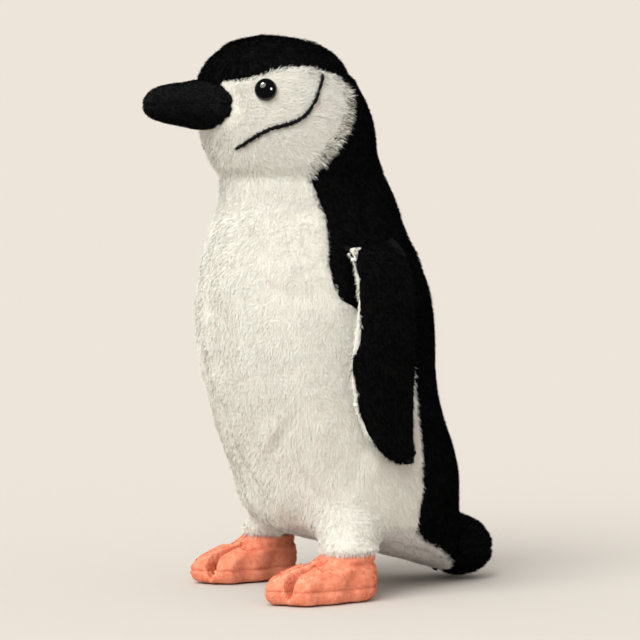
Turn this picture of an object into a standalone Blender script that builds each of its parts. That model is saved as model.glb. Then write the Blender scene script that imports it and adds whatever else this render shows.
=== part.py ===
"""Plush penguin, 300 mm tall: fabric panels, stuffing, pellet bag, safety eyes, flippers, feet and tail.

It stands on the XY plane and faces -Y; its own left side is +X. Lengths in the tables are millimetres
and become metres in one place, the function mm().
"""

import math

import bmesh
import bpy
from mathutils import Matrix, Vector

# Driving dimensions, millimetres
CENTRING = -1.75  # moves beak tip and tail end to equal distances from the origin along Y
NECK_HEIGHT = 226.0
BASE_SEAM_HEIGHT = 36.0
BACK_FOOT_HEIGHT = 8.2  # where the back panel ends under the tail
CROWN_SEAM_HEIGHT = 280.0
FABRIC = 1.6  # plush backing with its pressed pile
GAP = 0.3  # between pieces that touch
SMALL_STEP = 0.0005  # share of a surface, for its normals
SEAM_ANGLE = 0.35  # degrees of azimuth left free on each side of a seam
HALF_SEAM_ANGLE = 1.5  # the same on the beak and the tail
STUFFING_DEPTH = FABRIC + 3.0  # the panels are faceted, so the stuffing keeps clear of their flats
NECK_FREE = 1.5  # from the neck seam to the stuffing on each side of it

EYE_AZIMUTH = 58.5
EYE_HEIGHT = 271.4
EYE_RADIUS = 6.0
EYE_BULGE = 4.4
SHANK_RADIUS = 1.9
SHANK_LENGTH = 9.0
WASHER_RADIUS = 5.5
WASHER_THICKNESS = 1.4

LEG_X = 46.0
HEM_HEIGHT = 26.0
FOOT_SEAM_HEIGHT = 8.0
ANKLE_CENTRE = (46.5, -5.0)
ANKLE_RADIUS = 14.0
FOOT_CENTRE = (46.0, -20.0)

FLIPPER_HINGE = (47.0, 6.0, 200.0)
TAIL_HINGE = (0.0, 83.0, 38.0)
NECK_AXIS = (0.0, -11.0, NECK_HEIGHT)

# Loft stations: height, centre Y, half width, half depth
TRUNK = [
    (4.6, 80, 0, 0),
    (5.0, 79.8, 6, 2.5),
    (6.0, 78.8, 13, 4.7),
    (8.0, 76, 19, 8),
    (12, 70, 25, 14),
    (16, 62.5, 31, 21.5),
    (22, 51, 37, 33),
    (30, 34, 47, 50),
    (38, 25, 52, 58.5),
    (48, 20, 56, 62.5),
    (62, 17, 57.5, 63.5),
    (80, 11.5, 58, 64),
    (100, 4, 58, 63.5),
    (120, -0.5, 59, 65),
    (142, -2.2, 59.5, 66.5),
    (162, -3, 57.5, 65),
    (178, -4.5, 54, 61),
    (190, -6.3, 50, 57),
    (199, -6.8, 46.5, 53.5),
    (207, -6.2, 43.5, 50.5),
    (216, -7.2, 41.5, 48),
    (226, -11, 40.5, 46.5),
]
HEAD = [
    (226, -11, 40.5, 46.5),
    (233, -14, 40.5, 46.5),
    (241, -17, 41, 47),
    (249, -19, 41.5, 48.5),
    (257, -20.5, 41, 48),
    (265, -22.3, 40, 46.5),
    (273, -25, 38, 44.5),
    (281, -27.8, 35.5, 41.7),
    (289.5, -27.3, 30, 34.8),
    (296, -28.3, 23.5, 26.5),
    (299.5, -29.7, 16.5, 18.5),
    (301.3, -30.6, 9, 10),
    (302, -31, 0, 0),
]
# The beak and the tail run along Y: Y, centre height, half width, half height
BEAK = [
    (104.5, 263.6, 0, 0),
    (104.0, 263.6, 3, 3),
    (102.0, 263.7, 6, 6),
    (98, 264, 9.3, 8.8),
    (92, 264.2, 11.9, 10.6),
    (85, 264.2, 14.2, 11.8),
    (77, 264, 17, 12.9),
    (69, 264, 20, 13.6),
    (60, 264, 22.5, 13.8),
    (50, 264, 23, 13.8),
]
TAIL = [
    (108, 17.0, 0, 0),
    (107.5, 17.0, 6, 4.5),
    (105, 17.5, 13, 9.5),
    (100, 18.2, 19, 14.5),
    (92, 18.8, 23, 17.4),
    (84, 19.3, 25, 18.3),
    (78, 20.2, 25.5, 17.0),
    (72, 21.8, 25.5, 14.0),
    (62, 23.0, 24, 11.0),
]
# Leg: height, centre X, centre Y, half width, half depth
LEG = [
    (HEM_HEIGHT, LEG_X, -5, 17, 17),
    (33, 44.5, -4.5, 17.5, 18),
    (42, 39.5, -2.5, 18.5, 20),
    (56, 31, 1, 19, 22),
]
LEG_CORE = [
    (HEM_HEIGHT - 22.0, 46, -14, 12.0, 20),
    (HEM_HEIGHT - 14.0, 46, -13, 11.5, 18),
    (HEM_HEIGHT - 5.0, 46.4, -6.5, 11.4, 11.5),
    (HEM_HEIGHT + 6.0, 45.2, -4.8, 11.6, 11.8),
    (42, 39.5, -2.5, 14, 15),
    (56, 31, 1, 14, 15),
]
# Flipper: height, mid X, centre Y, half width along Y
FLIPPER = [
    (73.4, 64.6, 19.5, 3.8),
    (76, 64.8, 16.5, 8.2),
    (82, 65.0, 12.9, 12.9),
    (92, 65.2, 8.9, 16.2),
    (106, 65.6, 6.2, 19.0),
    (121, 66.0, 5.0, 20.4),
    (137, 66.2, 6.0, 20.2),
    (155, 65.4, 8.0, 18.4),
    (171, 62.6, 8.2, 18.0),
    (186, 57.0, 7.6, 17.4),
    (200, 50.6, 6.0, 15.0),
]
FLIPPER_BOW = 1.6  # how far its long edges bend towards the body
FLIPPER_FILL = 1.7  # half the hollow between its two fabric faces
BATTING_SHARE = 0.6  # of that hollow

# Bag of pellets above the base panel: height, centre Y, half width, half depth
PELLET_BAG = [
    (15.5, 69, 0, 0),
    (17, 68, 10, 6),
    (20, 64, 20, 12),
    (24, 56, 27, 20),
    (29, 46, 34, 30),
    (34, 39, 39, 38),
]

# Seam between the pale belly and the dark back, from the base up: height, azimuth from the front
SIDE_SEAM = [
    (BACK_FOOT_HEIGHT - 3 * GAP, 179.8),
    (BACK_FOOT_HEIGHT - 2 * GAP, 110),
    (14, 102),
    (21, 101),
    (27, 97),
    (34, 95),
    (39, 101),
    (53, 105),
    (69, 108),
    (85, 113),
    (101, 119),
    (120, 120),
    (138, 116),
    (148, 102),
    (154, 85),
    (164, 77),
    (179, 75),
    (187, 76),
    (197, 79),
    (208, 75),
    (216, 72),
    (226, 74),
]
# Rear edge of the white face, from the neck up to the crown seam: height, azimuth
FACE_REAR = [
    (226, 74),
    (230.6, 77),
    (234.5, 86),
    (239.8, 96),
    (247.8, 105),
    (257, 114),
    (264, 120),
    (272, 125),
    (280, 124),
]
# Lower edge of the cap round the head: azimuth, height
CAP_EDGE = [
    (0, 275.6),
    (14, 276.2),
    (27, 277),
    (40, 277.4),
    (58, 279.4),
    (69, 282.3),
    (82, 284.2),
    (95, 284),
    (107, 282.3),
    (122, CROWN_SEAM_HEIGHT),
    (180, CROWN_SEAM_HEIGHT),
]
# The stitched chin line on one side of the face: azimuth, height
CHIN_LINE = [
    (106, 279.4),
    (100, 275),
    (94, 269),
    (86, 262.2),
    (78, 257),
    (69, 253.4),
    (55, 249.8),
    (43, 245.8),
    (32, 241.4),
    (20, 238.2),
]
THREAD_RADIUS = 0.7
# Foot outline: the far edge of these circles together, seen from FOOT_CENTRE: X, Y, radius
FOOT_CIRCLES = [
    (55.5, -38.0, 8.0),
    (45.5, -49.0, 8.0),
    (35.0, -38.5, 7.5),
    (46.0, -22.0, 17.5),
    (46.5, -4.5, 15.0),
]
# Foot upper from its seam to the ankle: share of the way to the ankle, height
INSTEP = [
    (0.0, FOOT_SEAM_HEIGHT + 0.35),
    (0.04, 12.0),
    (0.15, 15.4),
    (0.4, 18.5),
    (0.75, 21.5),
    (0.95, 24.0),
    (1.0, HEM_HEIGHT + 1.0),
]
# Foot sole from its flat middle to the seam: share of the outline, height
SOLE = [
    (0.0, 0.0),
    (0.86, 0.0),
    (0.96, 2.2),
    (1.0, FOOT_SEAM_HEIGHT - 0.35),
]

BLACK_PLUSH = ("black_plush", (0.012, 0.012, 0.013), 0.9)
WHITE_PLUSH = ("white_plush", (0.82, 0.80, 0.74), 0.95)
GREY_PLUSH = ("grey_plush", (0.52, 0.51, 0.49), 0.95)
BEAK_FLEECE = ("beak_fleece", (0.016, 0.016, 0.018), 0.9)
CORAL_FLEECE = ("coral_fleece", (0.75, 0.22, 0.13), 0.9)
STUFFING = ("stuffing", (0.85, 0.85, 0.83), 1.0)
PELLET_CLOTH = ("pellet_cloth", (0.6, 0.6, 0.58), 0.9)
EYE_PLASTIC = ("eye_plastic", (0.005, 0.005, 0.005), 0.08)
WASHER_PLASTIC = ("washer_plastic", (0.7, 0.7, 0.68), 0.5)
BLACK_THREAD = ("black_thread", (0.01, 0.01, 0.01), 0.6)


def mm(x, y, z):
    """A point given in millimetres, in the part's own frame in metres."""
    return Vector((x, y + CENTRING, z)) * 0.001


def catmull_rom(rows, station):
    """Smooth row between the table's rows; station counts rows from 0."""
    station = min(max(station, 0.0), len(rows) - 1.0)
    first = min(int(station), len(rows) - 2)
    t = station - first
    before = rows[max(first - 1, 0)]
    after = rows[min(first + 2, len(rows) - 1)]
    smooth = []
    for p0, p1, p2, p3 in zip(before, rows[first], rows[first + 1], after):
        bend = 2 * p0 - 5 * p1 + 4 * p2 - p3
        twist = 3 * (p1 - p2) + p3 - p0
        smooth.append(p1 + 0.5 * t * (p2 - p0 + t * (bend + t * twist)))
    return smooth


def table(points, key):
    """Straight interpolation in a table of (key, value) pairs."""
    if key <= points[0][0]:
        return points[0][1]
    for (k0, v0), (k1, v1) in zip(points, points[1:]):
        if key <= k1:
            return v0 + (v1 - v0) * (key - k0) / (k1 - k0)
    return points[-1][1]


def station_at(rows, height):
    """The station of a table whose first column rises, at a given height."""
    low, high = 0.0, len(rows) - 1.0
    for _ in range(40):
        middle = 0.5 * (low + high)
        if catmull_rom(rows, middle)[0] < height:
            low = middle
        else:
            high = middle
    return low


def upright(rows, grow=0.0):
    """Surface of an upright form: (station, azimuth) to a point; azimuth 0 is the front, 90 its left."""

    def surface(station, azimuth):
        height, centre_y, half_width, half_depth = catmull_rom(rows, station)
        angle = math.radians(azimuth)
        x = (half_width + grow) * math.sin(angle)
        return mm(x, centre_y - (half_depth + grow) * math.cos(angle), height)

    return surface


def level(rows, direction):
    """Surface of a form that runs along Y; azimuth 0 is its top, 90 its left."""

    def surface(station, azimuth):
        along, centre_z, half_width, half_height = catmull_rom(rows, station)
        angle = math.radians(azimuth)
        height = centre_z + half_height * math.cos(angle)
        return mm(half_width * math.sin(angle), direction * along, height)

    return surface


def leg_surface(rows, side):
    """Surface of a leg's loft, whose centre moves in X as well as Y."""

    def surface(station, azimuth):
        height, centre_x, centre_y, half_width, half_depth = catmull_rom(rows, station)
        angle = math.radians(azimuth)
        x = centre_x + half_width * math.sin(angle)
        return mm(side * x, centre_y - half_depth * math.cos(angle), height)

    return surface


trunk = upright(TRUNK)
head = upright(HEAD)
beak = level(BEAK, -1)
tail = level(TAIL, 1)


def material(finish):
    name, colour, roughness = finish
    found = bpy.data.materials.get(name)
    if found:
        return found
    made = bpy.data.materials.new(name)
    made.use_nodes = True
    shader = made.node_tree.nodes["Principled BSDF"]
    shader.inputs["Base Color"].default_value = (*colour, 1.0)
    shader.inputs["Roughness"].default_value = roughness
    shader.inputs["Metallic"].default_value = 0.0
    return made


def between(low, high, share):
    return low + (high - low) * share


def spread(low, high, count):
    """Evenly spaced values that cut a stretch into count parts."""
    return [between(low, high, index / count) for index in range(count + 1)]


def grid(rows, columns, place):
    """A bmesh of quads over place(v, u): v takes the values in rows, u goes from 0 to 1 across them.

    Each corner keeps the true normal of the surface, where it has one, in a layer of its own.
    """
    bm = bmesh.new()
    normals = bm.verts.layers.float_vector.new("surface_normal")
    lines = []
    for v in rows:
        line = []
        for u in spread(0, 1, columns):
            vert = bm.verts.new(place(v, u))
            vert[normals] = surface_normal(place, v, u)
            line.append(vert)
        lines.append(line)
    for near, far in zip(lines, lines[1:]):
        for column in range(columns):
            bm.faces.new((near[column], near[column + 1], far[column + 1], far[column]))
    bmesh.ops.remove_doubles(bm, verts=bm.verts, dist=1e-6)
    bm.normal_update()
    return bm


def surface_normal(place, v, u):
    """Normal of a surface by small steps, or zero where it is stepped or ends in a point."""
    across = place(v, u + SMALL_STEP) - place(v, u - SMALL_STEP)
    along = place(v + SMALL_STEP, u) - place(v - SMALL_STEP, u)
    return across.normalized().cross(along.normalized())


def add(name, bm, finish, parent=None):
    """Turns a bmesh into the named object, shaded smooth."""
    mesh = bpy.data.meshes.new(name)
    bm.to_mesh(mesh)
    bm.free()
    mesh.shade_smooth()
    mesh.materials.append(material(finish))
    thing = bpy.data.objects.new(name, mesh)
    bpy.context.scene.collection.objects.link(thing)
    if parent:
        thing.parent = parent
        thing.matrix_parent_inverse = parent.matrix_world.inverted()
    return thing


def shell(name, bm, inside, finish, parent=None, outward=False):
    """A sheet of fabric with thickness, laid inside its surface or, if outward, on the outside of it."""
    lean = sum((face.calc_center_median() - inside).dot(face.normal) * face.calc_area() for face in bm.faces)
    if lean < 0:
        bmesh.ops.reverse_faces(bm, faces=bm.faces)
        bm.normal_update()
    normals = bm.verts.layers.float_vector["surface_normal"]
    rim = [tuple(edge.verts) for edge in bm.edges if edge.is_boundary]
    copy = bmesh.ops.duplicate(bm, geom=bm.verts[:] + bm.edges[:] + bm.faces[:])
    twin = copy["vert_map"]
    near = {vert for vert in copy["geom"] if isinstance(vert, bmesh.types.BMVert)}
    for vert in near:
        direction = vert[normals].normalized()
        facet = twin[vert].normal
        if all(len(face.verts) == 3 for face in twin[vert].link_faces):
            direction = (vert.co - inside).normalized()
        elif direction.length < 0.5:
            direction = facet.copy()
        if direction.dot(facet) < 0:
            direction.negate()
        vert.co += direction * FABRIC * 0.001 * (1 if outward else -1)
    for start, end in rim:
        bm.faces.new((start, end, twin[end], twin[start]))
    bmesh.ops.recalc_face_normals(bm, faces=bm.faces)
    return add(name, bm, finish, parent)


def filling(name, bm, depth, finish, parent=None):
    """A closed solid whose skin lies a given depth in millimetres inside the surface."""
    ends = [edge for edge in bm.edges if edge.is_boundary]
    if ends:
        bmesh.ops.holes_fill(bm, edges=ends, sides=0)
    bmesh.ops.recalc_face_normals(bm, faces=bm.faces)
    bm.normal_update()
    moves = [(vert, vert.normal.copy()) for vert in bm.verts]
    for vert, normal in moves:
        vert.co -= normal * depth * 0.001
    return add(name, bm, finish, parent)


def cutter(name, bm):
    """A closed solid that only cuts others, left out of the build."""
    ends = [edge for edge in bm.edges if edge.is_boundary]
    if ends:
        bmesh.ops.holes_fill(bm, edges=ends, sides=0)
    bmesh.ops.recalc_face_normals(bm, faces=bm.faces)
    thing = add(name, bm, WASHER_PLASTIC)
    thing.hide_render = True
    thing.display_type = "WIRE"
    return thing


def cut(thing, tool):
    """Takes the tool's space out of an object."""
    boolean = thing.modifiers.new("Cut", "BOOLEAN")
    boolean.operation = "DIFFERENCE"
    boolean.object = tool


def axis_empty(name, place):
    """An empty on a joint's axis, for the pieces that turn about it."""
    empty = bpy.data.objects.new(name, None)
    empty.location = mm(*place)
    bpy.context.scene.collection.objects.link(empty)
    bpy.context.view_layer.update()
    return empty


def turned(profile, segments, frame):
    """A solid turned about the local Z axis from (radius, height) points, placed by a matrix."""
    bm = grid(range(len(profile)), segments, lambda v, u: frame @ ring_point(profile[round(v)], u))
    bmesh.ops.recalc_face_normals(bm, faces=bm.faces)
    return bm


def ring_point(point, share):
    radius, height = point
    angle = math.tau * share
    return Vector((radius * math.cos(angle), radius * math.sin(angle), height)) * 0.001


def tube(path, radius, sides):
    """A round thread along a list of points, with closed ends."""
    rings = []
    for index, point in enumerate(path):
        along = (path[min(index + 1, len(path) - 1)] - path[max(index - 1, 0)]).normalized()
        across = along.cross(Vector((0, 0, 1))).normalized()
        other = along.cross(across)
        rings.append((point, across, other))

    def place(v, u):
        point, across, other = rings[round(v)]
        angle = math.tau * u
        return point + (across * math.cos(angle) + other * math.sin(angle)) * radius * 0.001

    bm = grid(range(len(rings)), sides, place)
    bmesh.ops.holes_fill(bm, edges=[edge for edge in bm.edges if edge.is_boundary], sides=0)
    bmesh.ops.recalc_face_normals(bm, faces=bm.faces)
    return bm


def make_trunk():
    """Belly, back and base panels round the stuffing and the pellet bag."""
    base_rows = spread(station_at(TRUNK, BACK_FOOT_HEIGHT), station_at(TRUNK, BASE_SEAM_HEIGHT), 5)
    body_rows = spread(base_rows[-1], station_at(TRUNK, NECK_HEIGHT - 0.5 * GAP), 20)
    seam_up = station_at(TRUNK, BASE_SEAM_HEIGHT + 0.5 * GAP)
    seam_down = station_at(TRUNK, BASE_SEAM_HEIGHT - 0.5 * GAP)
    inside = mm(0, 5, 110)

    def side_edge(station, gap_side):
        height, _, half_width, _ = catmull_rom(TRUNK, station)
        free = math.degrees(GAP / max(half_width, 6.0))
        return table(SIDE_SEAM, height) + gap_side * free

    for name, side in (("left", 1), ("right", -1)):

        def belly(station, u, side=side):
            return trunk(station, side * between(SEAM_ANGLE, side_edge(station, -1), u))

        def back(station, u, side=side):
            return trunk(station, side * between(side_edge(station, 1), 180 - SEAM_ANGLE, u))

        pale = shell(f"belly_{name}", grid([seam_up] + body_rows[1:], 4, belly), inside, WHITE_PLUSH)
        dark = shell(f"back_{name}", grid(base_rows + body_rows[1:], 4, back), inside, BLACK_PLUSH)
        for panel in (pale, dark):
            level_ends(panel, 0, NECK_HEIGHT - 0.5 * GAP)

    def base(station, u):
        edge = side_edge(station, -1)
        return trunk(station, between(-edge, edge, u))

    foot_rows = [station_at(TRUNK, BACK_FOOT_HEIGHT - gaps * GAP) for gaps in (3, 2)]
    rows = [0, 0.5 * foot_rows[0]] + foot_rows + base_rows[:-1] + [seam_down]
    shell("base_panel", grid(rows, 8, base), mm(0, 40, 60), GREY_PLUSH)

    pellet_rows = spread(0, len(PELLET_BAG) - 1, 8)
    pellet_top = PELLET_BAG[-1][0]
    wool_foot = pellet_top + 2 * GAP
    wool_rows = spread(station_at(TRUNK, wool_foot), station_at(TRUNK, NECK_HEIGHT - NECK_FREE), 11)
    filling("pellet_bag", whole(pellet_rows, 16, upright(PELLET_BAG)), 0.0, PELLET_CLOTH)
    wool = filling("body_stuffing", whole(wool_rows, 14, trunk), STUFFING_DEPTH, STUFFING)
    level_ends(wool, wool_foot, NECK_HEIGHT - NECK_FREE)


def whole(rows, columns, surface):
    """The full turn of a form's surface."""
    return grid(rows, columns, lambda station, u: surface(station, 360 * u))


def half(rows, columns, surface, middle):
    """Half the turn of a form's surface, round the azimuth in its middle, short of both its seams."""
    reach = 90 - HALF_SEAM_ANGLE
    return grid(rows, columns, lambda station, u: surface(station, between(middle - reach, middle + reach, u)))


def level_ends(thing, low, high):
    """Keeps a piece between two heights, so that its ends there are flat."""
    for vert in thing.data.vertices:
        vert.co.z = min(max(vert.co.z, low * 0.001), high * 0.001)


def face_edge(share):
    """Point of the seam behind the face, from the neck (0) to the crown seam (1): height, azimuth."""
    height = between(NECK_HEIGHT + 0.5 * GAP, CROWN_SEAM_HEIGHT - 0.5 * GAP, share)
    return height, table(FACE_REAR, height)


def make_head(turn):
    """Cap, nape and face panels round the head's stuffing."""
    inside = mm(0, -22, 262)
    crown = len(HEAD) - 1
    seam_rows = spread(0, 1, 10)

    def cap(v, u):
        azimuth = between(-180, 180, u)
        edge = station_at(HEAD, table(CAP_EDGE, abs(azimuth)) + 1.5 * GAP)
        return head(between(edge, crown, v), azimuth)

    def nape(v, u):
        height, edge = face_edge(v)
        return head(station_at(HEAD, height), between(edge + SEAM_ANGLE, 360 - edge - SEAM_ANGLE, u))

    shell("cap", grid(spread(0, 1, 5), 28, cap), inside, BLACK_PLUSH, turn)
    rear = shell("nape", grid(seam_rows, 10, nape), inside, BLACK_PLUSH, turn)
    level_ends(rear, NECK_HEIGHT + 0.5 * GAP, HEAD[-1][0])

    for name, side in (("left", 1), ("right", -1)):

        def face(v, u, side=side):
            height, edge = face_edge(v)
            azimuth = between(SEAM_ANGLE, edge - SEAM_ANGLE, u)
            roof = table(CAP_EDGE, azimuth) - 0.5 * GAP
            stretch = (roof - NECK_HEIGHT) / (CROWN_SEAM_HEIGHT - 0.5 * GAP - NECK_HEIGHT)
            height = NECK_HEIGHT + (height - NECK_HEIGHT) * between(1.0, stretch, v)
            return head(station_at(HEAD, height), side * azimuth)

        panel = shell(f"face_{name}", grid(seam_rows, 9, face), inside, WHITE_PLUSH, turn)
        level_ends(panel, NECK_HEIGHT + 0.5 * GAP, HEAD[-1][0])
        eye_frame = eye_place(side)
        hole = [(0, -8), (SHANK_RADIUS + GAP, -8), (SHANK_RADIUS + GAP, 4), (0, 4)]
        cut(panel, cutter(f"shank_hole_{name}", turned(hole, 12, eye_frame)))

    wool_rows = spread(station_at(HEAD, NECK_HEIGHT + NECK_FREE), crown, 8)
    core = filling("head_stuffing", whole(wool_rows, 14, head), STUFFING_DEPTH, STUFFING, turn)
    level_ends(core, NECK_HEIGHT + NECK_FREE, HEAD[-1][0])
    for name, side in (("left", 1), ("right", -1)):
        pocket = [
            (0, -SHANK_LENGTH - 2),
            (WASHER_RADIUS + 0.6, -SHANK_LENGTH - 2),
            (WASHER_RADIUS + 0.6, 6),
            (0, 6),
        ]
        cut(core, cutter(f"washer_pocket_{name}", turned(pocket, 14, eye_place(side))))


def eye_place(side):
    """Matrix at an eye's centre on the head, its Z axis along the outward normal."""
    station = station_at(HEAD, EYE_HEIGHT)
    azimuth = side * EYE_AZIMUTH
    centre = head(station, azimuth)
    across = head(station, azimuth + 1) - head(station, azimuth - 1)
    along = head(station + 0.05, azimuth) - head(station - 0.05, azimuth)
    normal = across.cross(along).normalized()
    return Matrix.Translation(centre) @ normal.to_track_quat("Z", "Y").to_matrix().to_4x4()


def make_eyes(turn):
    """Domed safety eyes with a shank through the fabric, and the washer that locks each inside."""
    dome = [(0, -SHANK_LENGTH), (SHANK_RADIUS, -SHANK_LENGTH), (SHANK_RADIUS, GAP)]
    steps = 5
    for step in range(steps + 1):
        angle = 0.5 * math.pi * step / steps
        dome.append((EYE_RADIUS * math.cos(angle), 2 * GAP + EYE_BULGE * math.sin(angle)))
    dome.insert(3, (EYE_RADIUS - 0.4, GAP))
    washer_top = -FABRIC - 1.0
    washer_foot = washer_top - WASHER_THICKNESS
    bore = SHANK_RADIUS + 0.2
    washer = [
        (bore, washer_foot),
        (WASHER_RADIUS, washer_foot),
        (WASHER_RADIUS, washer_top),
        (bore, washer_top),
        (bore, washer_foot),
    ]
    for name, side in (("left", 1), ("right", -1)):
        frame = eye_place(side)
        add(f"eye_{name}", turned(dome, 14, frame), EYE_PLASTIC, turn)
        add(f"eye_washer_{name}", turned(washer, 12, frame), WASHER_PLASTIC, turn)


def make_chin_lines(turn):
    """The thick thread sewn on each side of the face, from behind the eye to under the chin."""
    lift = THREAD_RADIUS + GAP
    stand = upright(HEAD, lift)
    for name, side in (("left", 1), ("right", -1)):
        path = [stand(station_at(HEAD, height), side * azimuth) for azimuth, height in CHIN_LINE]
        add(f"chinstrap_{name}", tube(path, THREAD_RADIUS, 6), BLACK_THREAD, turn)


def make_beak(turn, head_space):
    """Upper and lower beak of short fleece, and the stuffing in them."""
    rows = range(len(BEAK))
    inside = mm(0, -70, BEAK[0][1])
    upper = half(rows, 8, beak, 0)
    lower = half(rows, 8, beak, 180)
    core = whole(rows, 10, beak)
    pieces = [
        shell("beak_upper", upper, inside, BEAK_FLEECE, turn),
        shell("beak_lower", lower, inside, BEAK_FLEECE, turn),
        filling("beak_stuffing", core, STUFFING_DEPTH, STUFFING, turn),
    ]
    for piece in pieces:
        cut(piece, head_space)


def make_tail(bend, trunk_space):
    """Stubby tail: a top and an underside of plush with stuffing between them."""
    rows = range(len(TAIL))
    inside = mm(0, 80, TAIL[0][1])
    upper = half(rows, 8, tail, 0)
    lower = half(rows, 8, tail, 180)
    core = whole(rows, 10, tail)
    pieces = [
        shell("tail_top", upper, inside, BLACK_PLUSH, bend),
        shell("tail_underside", lower, inside, BLACK_PLUSH, bend),
        filling("tail_stuffing", core, STUFFING_DEPTH, STUFFING, bend),
    ]
    for piece in pieces:
        cut(piece, trunk_space)


def foot_outline(azimuth):
    """Distance from FOOT_CENTRE to the foot's edge; azimuth 0 points to the toes."""
    direction = Vector((math.sin(azimuth), -math.cos(azimuth)))
    reach = 0.0
    for x, y, radius in FOOT_CIRCLES:
        centre = Vector((x - FOOT_CENTRE[0], y - FOOT_CENTRE[1]))
        along = direction.dot(centre)
        room = radius**2 - centre.length_squared + along**2
        if room > 0:
            reach = max(reach, along + math.sqrt(room))
    return direction * reach


def make_leg(name, side, trunk_space):
    """Cuff, foot upper, foot sole and the stuffing that runs through all three."""
    cuff = whole(spread(0, len(LEG) - 1, 5), 14, leg_surface(LEG, side))
    cut(shell(f"leg_cuff_{name}", cuff, mm(side * 40, -3, 38), WHITE_PLUSH), trunk_space)

    def foot_point(edge, height):
        return mm(side * (FOOT_CENTRE[0] + edge.x), FOOT_CENTRE[1] + edge.y, height)

    def upper(v, u):
        share, height = INSTEP[round(v)]
        azimuth = math.tau * u
        ankle = Vector(ANKLE_CENTRE) - Vector(FOOT_CENTRE)
        ankle += Vector((math.sin(azimuth), -math.cos(azimuth))) * ANKLE_RADIUS
        return foot_point(foot_outline(azimuth).lerp(ankle, share), height)

    def sole(v, u):
        share, height = SOLE[round(v)]
        return foot_point(foot_outline(math.tau * u) * share, height)

    foot_inside = mm(side * FOOT_CENTRE[0], FOOT_CENTRE[1], 9)
    top = shell(f"foot_upper_{name}", grid(range(len(INSTEP)), 24, upper), foot_inside, CORAL_FLEECE)
    foot = shell(f"foot_sole_{name}", grid(range(len(SOLE)), 24, sole), foot_inside, CORAL_FLEECE)
    level_ends(top, INSTEP[0][1], INSTEP[-1][1])
    level_ends(foot, SOLE[0][1], SOLE[-1][1])

    core = whole(spread(0, len(LEG_CORE) - 1, 8), 10, leg_surface(LEG_CORE, side))
    cut(filling(f"leg_stuffing_{name}", core, 0.0, STUFFING), trunk_space)


def make_flipper(name, side, hinge):
    """Outer and inner fabric face of a flipper, sewn round their edge, with batting between them."""
    last = len(FLIPPER) - 1

    def place(station, u, offset, reach=1.0):
        height, mid_x, centre_y, half_width = catmull_rom(FLIPPER, station)
        across = reach * between(-1, 1, u)
        hollow = offset * (0.5 * GAP + FLIPPER_FILL * (1 - across**2))
        bow = FLIPPER_BOW * across**2
        return mm(side * (mid_x - bow + hollow), centre_y + across * half_width, height)

    rows = spread(0, last, 11)
    outer = grid(rows, 5, lambda v, u: place(v, u, 1.0))
    inner = grid(rows, 5, lambda v, u: place(v, u, -1.0))
    shell(f"flipper_{name}_outer", outer, mm(0, 6, 135), BLACK_PLUSH, hinge, outward=True)
    shell(f"flipper_{name}_inner", inner, mm(side * 90, 6, 135), WHITE_PLUSH, hinge, outward=True)

    front = grid(rows[1:-1], 4, lambda v, u: place(v, u, BATTING_SHARE, 0.8))
    back = grid(rows[1:-1], 4, lambda v, u: place(v, u, -BATTING_SHARE, 0.8))
    add(f"flipper_{name}_batting", join_sheets(front, back), STUFFING, hinge)


def join_sheets(front, back):
    """One closed solid from two sheets with the same outline."""
    mesh = bpy.data.meshes.new("sheet")
    back.to_mesh(mesh)
    back.free()
    front.from_mesh(mesh)
    bpy.data.meshes.remove(mesh)
    edges = [edge for edge in front.edges if edge.is_boundary]
    bmesh.ops.bridge_loops(front, edges=edges)
    bmesh.ops.recalc_face_normals(front, faces=front.faces)
    return front


def main():
    for thing in list(bpy.data.objects):
        bpy.data.objects.remove(thing, do_unlink=True)

    turn = axis_empty("head_turn_axis", NECK_AXIS)
    bend = axis_empty("tail_bend_axis", TAIL_HINGE)
    trunk_space = cutter("trunk_space", whole(spread(0, len(TRUNK) - 1, 30), 24, upright(TRUNK, 3 * GAP)))
    head_space = cutter("head_space", whole(spread(0, len(HEAD) - 1, 14), 24, upright(HEAD, 2 * GAP)))

    make_trunk()
    make_head(turn)
    make_eyes(turn)
    make_chin_lines(turn)
    make_beak(turn, head_space)
    make_tail(bend, trunk_space)
    for name, side in (("left", 1), ("right", -1)):
        make_leg(name, side, trunk_space)
        x, y, z = FLIPPER_HINGE
        hinge = axis_empty(f"flipper_{name}_axis", (side * x, y, z))
        make_flipper(name, side, hinge)


main()
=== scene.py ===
"""Looks of the plush penguin: stuffed skins, pile made of real fibres, safety eyes and chin stitching.

Every skin is grown from the CAD solids of its panels, swollen between its seams, creased and then
drawn in by the depth of its pile, so that the tips of the pile reach the CAD surface again.
"""

import math
from collections import namedtuple

import bmesh
import bpy
import numpy as np
from mathutils import Matrix, Vector
from mathutils.bvhtree import BVHTree


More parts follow.
